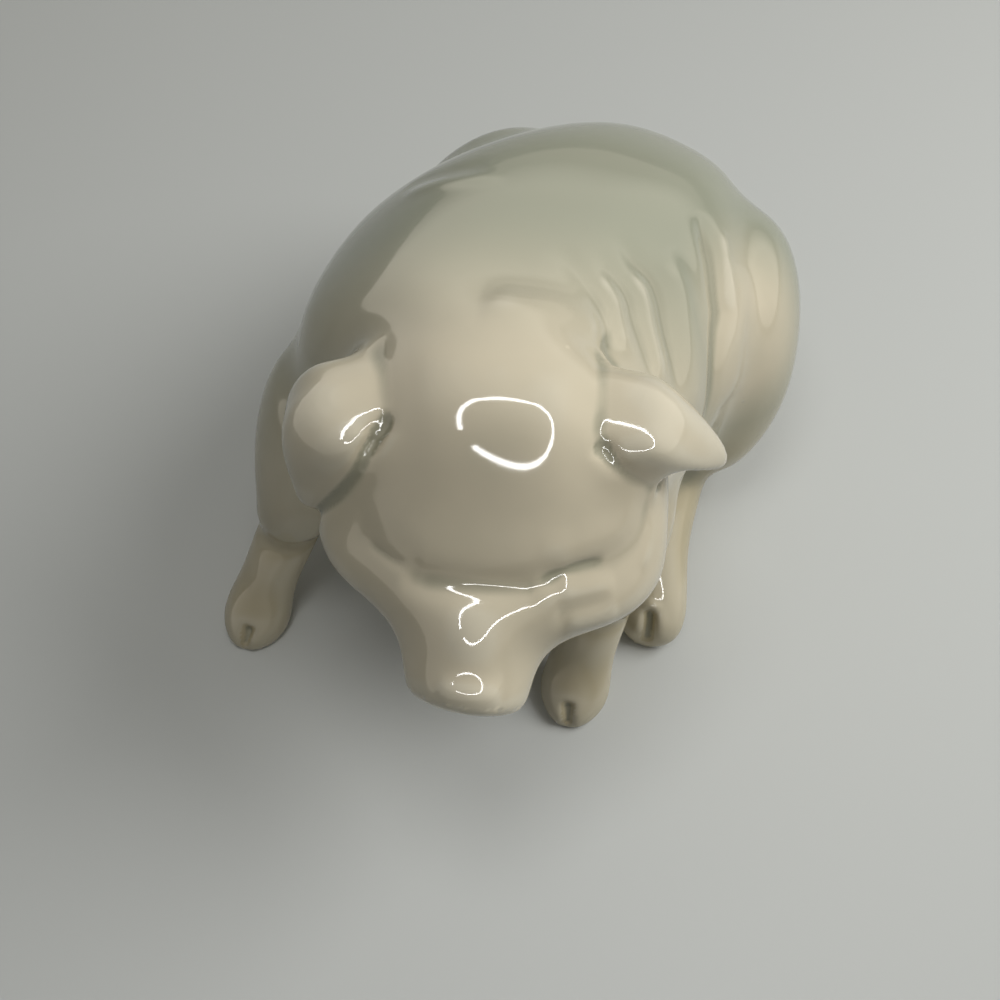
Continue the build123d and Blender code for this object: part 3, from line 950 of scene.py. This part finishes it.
@dataclass(frozen=True)
class Glaze:
    """Ivory porcelain glaze, cooler where it is thick and warmer on the head, with painted light on the
    left haunch and on thin edges.

    Args:
        cool: Colour of the thick glaze on the back and the flanks.
        warm: Colour of the thin glaze on the head, the ears and the haunch; on the haunch it also
            paints the light that falls there from the right.
        low: Colour of the glaze low down on the legs.
        pooled: Colour of the glaze that has run into hollows.
        thin: Colour of the glaze on edges, where it runs thin, and painted light shining through the
            thin rims.
        bare: Colour of the unglazed clay that stood on the kiln shelf.
        speck: Colour of the fine iron specks.
        gloss: Roughness of the glaze.
        bare_roughness: Roughness of the unglazed clay.
        warm_span: Where the warm glaze starts and is full, along Y, in metres.
        lit_haunch_at: Middle of the pale patch on the left haunch, a warm tint that also paints the
            light falling there, in metres.
        lit_haunch_span: How far from there the painted lit patch starts and is full, in metres.
        low_span: Where the low glaze starts and is full, in height, in metres.
        mottle_scale: How fine the glaze's clouds are.
        mottle_detail: How broken the clouds are.
        mottle_span: Where a cloud starts and is full.
        mottle_share: How much of a full cloud shows.
        pool_span: Which hollows fill with glaze.
        thin_and_lit_rim_span: Which edges come through the glaze and get the painted light of thin
            rims.
        speck_scale: How close the places for specks lie.
        speck_span: How large a speck is, at its rim and at its core.
        speck_rarity: Which of the places have a speck.
        foot_span: Where the bare foot starts and is full, in height, in metres.
    """

    cool: Colour = linear(144, 147, 130)
    warm: Colour = linear(193, 184, 162)
    low: Colour = linear(176, 165, 136)
    pooled: Colour = linear(140, 139, 120)
    thin: Colour = linear(200, 195, 178)
    bare: Colour = linear(214, 206, 190)
    speck: Colour = linear(92, 80, 62)
    gloss: float = 0.07
    bare_roughness: float = 0.85
    warm_span: Span = (0.014, -0.024)
    lit_haunch_at: Point = (0.039, 0.006, 0.047)
    lit_haunch_span: Span = (0.024, 0.006)
    low_span: Span = (0.045, 0.0)
    mottle_scale: float = 55.0
    mottle_detail: float = 3.0
    mottle_span: Span = (0.42, 0.72)
    mottle_share: float = 0.16
    pool_span: Span = (0.1, 1.3)
    thin_and_lit_rim_span: Span = (-0.5, -1.6)
    speck_scale: float = 95.0
    speck_span: Span = (0.045, 0.02)
    speck_rarity: Span = (0.93, 0.94)
    foot_span: Span = (0.0006, 0.0002)

    def material(self) -> bpy.types.Material:
        """Builds the glaze's shader.

        Returns:
            A material that reads Object coordinates and the marks of the pools.
        """
        material = bpy.data.materials.new("porcelain glaze")
        material.use_nodes = True
        wiring = Wiring(material.node_tree)
        shader = material.node_tree.nodes["Principled BSDF"]
        place_at = wiring.add("TexCoord").outputs["Object"]
        _, back, height = wiring.axes(place_at)
        foot = wiring.ramp(height, self.foot_span)
        colour = wiring.blend(self.warmth_and_painted_light(wiring, place_at, back), self.cool, self.warm)
        colour = wiring.blend(wiring.ramp(height, self.low_span), colour, self.low)
        colour = wiring.blend(self.clouds(wiring, place_at), colour, self.pooled)
        relief = wiring.add("Attribute")
        relief.attribute_name = "pool"
        colour = wiring.blend(wiring.ramp(relief.outputs["Fac"], self.pool_span), colour, self.pooled)
        # Paler edges: glaze running thin, and painted light shining through thin rims such as the
        # ears'.
        colour = wiring.blend(wiring.ramp(relief.outputs["Fac"], self.thin_and_lit_rim_span), colour, self.thin)
        colour = wiring.blend(self.specks(wiring, place_at), colour, self.speck)
        colour = wiring.blend(foot, colour, self.bare)
        wiring.feed(shader.inputs["Base Color"], colour)
        rough = wiring.ramp(foot, (0.0, 1.0), (self.gloss, self.bare_roughness), "LINEAR")
        wiring.feed(shader.inputs["Roughness"], rough)
        return material

    def warmth_and_painted_light(self, wiring: Wiring, place_at: Socket, back: Socket) -> Socket:
        """Finds where the glaze is warm: forward on the figure, and on the left haunch, where the warm
        patch also paints the light that falls there.

        Args:
            wiring: The material's nodes.
            place_at: The place on the glaze.
            back: How far back that is.

        Returns:
            The share of the warm glaze.
        """
        # The pale patch on the left haunch is a warm tint and also painted light, where the light from
        # the right falls.
        haunch = wiring.add("VectorMath")
        haunch.operation = "DISTANCE"
        haunch.inputs[1].default_value = self.lit_haunch_at
        wiring.feed(haunch.inputs[0], place_at)
        patch = wiring.ramp(haunch.outputs["Value"], self.lit_haunch_span)
        return wiring.combine("MAXIMUM", wiring.ramp(back, self.warm_span), patch)

    def clouds(self, wiring: Wiring, place_at: Socket) -> Socket:
        """Spreads faint clouds through the glaze.

        Args:
            wiring: The material's nodes.
            place_at: The place on the glaze.

        Returns:
            The share of the cloud.
        """
        mottle = wiring.add("TexNoise")
        mottle.inputs["Scale"].default_value = self.mottle_scale
        mottle.inputs["Detail"].default_value = self.mottle_detail
        wiring.feed(mottle.inputs["Vector"], place_at)
        cloud = wiring.ramp(mottle.outputs["Fac"], self.mottle_span)
        return wiring.combine("MULTIPLY", cloud, self.mottle_share)

    def specks(self, wiring: Wiring, place_at: Socket) -> Socket:
        """Scatters a few fine specks.

        Args:
            wiring: The material's nodes.
            place_at: The place on the glaze.

        Returns:
            The share of the speck.
        """
        cells = wiring.add("TexVoronoi")
        cells.inputs["Scale"].default_value = self.speck_scale
        wiring.feed(cells.inputs["Vector"], place_at)
        lot = wiring.add("SeparateColor")
        wiring.feed(lot.inputs[0], cells.outputs["Color"])
        dot = wiring.ramp(cells.outputs["Distance"], self.speck_span)
        return wiring.combine("MULTIPLY", dot, wiring.ramp(lot.outputs[0], self.speck_rarity))


@dataclass(frozen=True)
class Lamp:
    """A soft round lamp that points at the figure and doesn't show in the glaze.

    Args:
        name: What the lamp is for.
        at: Its place, in metres.
        size: How wide it is, in metres.
        power: Its power, in watts.
        colour: Its colour.
        aim: The place that it points at, in metres.
    """

    name: str
    at: Point
    size: float
    power: float
    colour: Colour
    aim: Point = (0.0, 0.0, 0.03)

    def hang(self) -> None:
        """Adds the lamp to the scene."""
        lamp = bpy.data.lights.new(self.name, "AREA")
        lamp.shape = "DISK"
        lamp.size = self.size
        lamp.energy = self.power
        lamp.color = self.colour
        holder = bpy.data.objects.new(self.name, lamp)
        holder.location = self.at
        way = Vector(self.aim) - Vector(self.at)
        holder.rotation_euler = way.to_track_quat("-Z", "Y").to_euler()
        holder.visible_glossy = False
        bpy.context.scene.collection.objects.link(holder)


@dataclass
class Studio:
    """The table, the lamps and the camera.

    Args:
        camera_at: Place of the camera, in metres.
        camera_tilt: How far the camera looks up from straight down, in degrees.
        lens: Focal length, in millimetres.
        sensor: Width of the sensor, in millimetres.
        nearest: The nearest place that the camera sees, in metres.
        table: Colour of the table.
        table_size: Width of the table, in metres.
        table_roughness: Roughness of the table.
        ring_radius: Radius of the ring lamp round the camera, in metres.
        ring_width: Width of the ring lamp's band, in metres.
        ring_sides: How many sides the ring lamp has.
        ring_gap: Where the ring lamp is open, from and to, in degrees.
        ring_strength: How bright the ring lamp is.
        lamps: The soft lamps.
    """

    camera_at: Point = (-0.0016, -0.1095, 0.2095)
    camera_tilt: float = 28.0
    lens: float = 43.2
    sensor: float = 36.0
    nearest: float = 0.005
    table: Colour = linear(188, 191, 190)
    table_size: float = 6.0
    table_roughness: float = 0.6
    ring_radius: float = 0.098
    ring_width: float = 0.0105
    ring_sides: int = 96
    ring_gap: Span = (196.0, 222.0)
    ring_strength: float = 26.0
    lamps: tuple[Lamp, ...] = (
        Lamp("key", (0.34, 0.04, 0.38), 0.34, 1.8, (1.0, 0.985, 0.955)),
        Lamp("fill", (-0.02, -0.03, 0.36), 0.12, 0.26, (1.0, 0.99, 0.96)),
    )

    def add_camera(self) -> None:
        """Puts the camera where the photograph was taken."""
        camera = bpy.data.cameras.new("camera")
        camera.sensor_width = self.sensor
        camera.lens = self.lens
        camera.clip_start = self.nearest
        holder = bpy.data.objects.new("camera", camera)
        holder.location = self.camera_at
        holder.rotation_euler = (math.radians(self.camera_tilt), 0, 0)
        bpy.context.scene.collection.objects.link(holder)
        bpy.context.scene.camera = holder

    def add_table(self) -> None:
        """Lays the pale table under the figure."""
        bpy.ops.object.select_all(action="DESELECT")
        bpy.ops.mesh.primitive_plane_add(size=self.table_size)
        table = bpy.context.active_object
        table.name = "table"
        material = bpy.data.materials.new("table")
        material.use_nodes = True
        shader = material.node_tree.nodes["Principled BSDF"]
        shader.inputs["Base Color"].default_value = (*self.table, 1)
        shader.inputs["Roughness"].default_value = self.table_roughness
        table.data.materials.append(material)

    def add_ring(self) -> None:
        """Hangs the ring lamp round the camera, seen only in reflections."""
        bpy.ops.object.select_all(action="DESELECT")
        bpy.ops.mesh.primitive_circle_add(
            vertices=self.ring_sides, radius=self.ring_radius, fill_type="NGON"
        )
        ring = bpy.context.active_object
        ring.name = "ring_lamp"
        bpy.ops.object.mode_set(mode="EDIT")
        bpy.ops.mesh.select_all(action="SELECT")
        bpy.ops.mesh.inset(thickness=self.ring_width)
        bpy.ops.mesh.delete(type="FACE")
        bpy.ops.mesh.select_all(action="DESELECT")
        bpy.ops.object.mode_set(mode="OBJECT")
        for face in ring.data.polygons:
            angle = math.degrees(math.atan2(face.center.y, face.center.x)) % 360
            face.select = self.ring_gap[0] < angle < self.ring_gap[1]
        bpy.ops.object.mode_set(mode="EDIT")
        bpy.ops.mesh.select_mode(type="FACE")
        bpy.ops.mesh.delete(type="FACE")
        bpy.ops.object.mode_set(mode="OBJECT")
        ring.location = self.camera_at
        ring.rotation_euler = (math.radians(self.camera_tilt), 0, 0)
        material = bpy.data.materials.new("ring lamp")
        material.use_nodes = True
        shader = material.node_tree.nodes["Principled BSDF"]
        shader.inputs["Base Color"].default_value = (0, 0, 0, 1)
        shader.inputs["Emission Color"].default_value = (1, 1, 1, 1)
        shader.inputs["Emission Strength"].default_value = self.ring_strength
        ring.data.materials.append(material)
        ring.visible_camera = False
        ring.visible_diffuse = False
        ring.visible_shadow = False

    def add_lamps(self) -> None:
        """Hangs the soft lamps."""
        for lamp in self.lamps:
            lamp.hang()


@dataclass
class Room:
    """The room's light, and how the room looks in the glaze.

    Args:
        air: Colour of the room's light.
        mirrored: Colour of the room in the glaze.
        shade: The room's light from the dark side and from the bright side.
        gleam: How bright the room looks in the glaze.
        dusk: How bright its low, dim part looks in the glaze.
        arch: How high that dim part reaches, from 0 for level to 1 for straight up.
        arch_soft: How far its upper edge fades, up and down.
        arch_slope: How quickly that edge falls off to the sides.
        arch_shift: Where the edge is highest. Below 0 it is to the right.
        front_span: Where the dim front of the room starts and ends, along Y.
        front_levels: How bright the room is in front, and from there on.
    """

    air: Colour = (0.94, 0.95, 0.92)
    mirrored: Colour = (1.0, 0.93, 0.80)
    shade: Span = (0.05, 0.37)
    gleam: float = 1.5
    dusk: float = 0.6
    arch: float = 0.2
    arch_soft: float = 0.07
    arch_slope: float = 1.6
    arch_shift: float = -0.4
    front_span: Span = (-0.75, 0.1)
    front_levels: Span = (0.5, 1.0)

    def light(self) -> None:
        """Sets the room's light."""
        world = bpy.context.scene.world or bpy.data.worlds.new("room")
        bpy.context.scene.world = world
        world.use_nodes = True
        nodes = world.node_tree.nodes
        wiring = Wiring(world.node_tree)
        right, back, up = wiring.axes(wiring.add("TexCoord").outputs["Generated"])
        front = wiring.ramp(back, self.front_span, self.front_levels, "LINEAR")
        side = wiring.ramp(right, (-1.0, 1.0), self.shade, "LINEAR")
        soft = nodes["Background"]
        soft.inputs["Color"].default_value = (*self.air, 1)
        wiring.feed(soft.inputs["Strength"], wiring.combine("MULTIPLY", side, front))
        seen = wiring.add("Background")
        seen.inputs["Color"].default_value = (*self.mirrored, 1)
        gleam = self.mirror(wiring, right, up)
        wiring.feed(seen.inputs["Strength"], wiring.combine("MULTIPLY", gleam, front))
        mix = wiring.add("MixShader")
        wiring.feed(mix.inputs[0], wiring.add("LightPath").outputs["Is Glossy Ray"])
        wiring.feed(mix.inputs[1], soft.outputs[0])
        wiring.feed(mix.inputs[2], seen.outputs[0])
        wiring.feed(nodes["World Output"].inputs["Surface"], mix.outputs[0])

    def mirror(self, wiring: Wiring, right: Socket, up: Socket) -> Socket:
        """Sets how bright the room looks in the glaze.

        Args:
            wiring: The world's nodes.
            right: How far to the right the reflected light comes from.
            up: How far up it comes from.

        Returns:
            The brightness.
        """
        across = wiring.combine("MULTIPLY_ADD", right, self.arch_slope, self.arch_shift)
        bend = wiring.combine("MULTIPLY", across, across)
        height = wiring.combine("MULTIPLY_ADD", bend, self.arch, up)
        edge = (self.arch - self.arch_soft, self.arch + self.arch_soft)
        return wiring.ramp(height, edge, (self.dusk, self.gleam), "LINEAR")


def main() -> None:
    """Builds the pieces in order and reports each one."""
    logging.basicConfig(level=logging.INFO, format="%(message)s")
    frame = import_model()
    studio = Studio()
    studio.add_camera()
    studio.add_table()
    studio.add_ring()
    studio.add_lamps()
    Room().light()
    regions = (Torso(), Head(), Limbs())
    potter = Skin()
    skin = potter.lute(frame["nodes"])
    potter.fair(skin)
    gaps = potter.model(skin, regions)
    potter.mark_pools(skin)
    pieces = potter.divide(skin, gaps)
    glaze = Glaze().material()
    for part, piece in pieces.items():
        region = next(region for region in regions if part in region.parts)
        region.dress(piece, part, glaze)
    bpy.context.scene.view_settings.view_transform = "Standard"


if __name__ == "__main__":
    main()
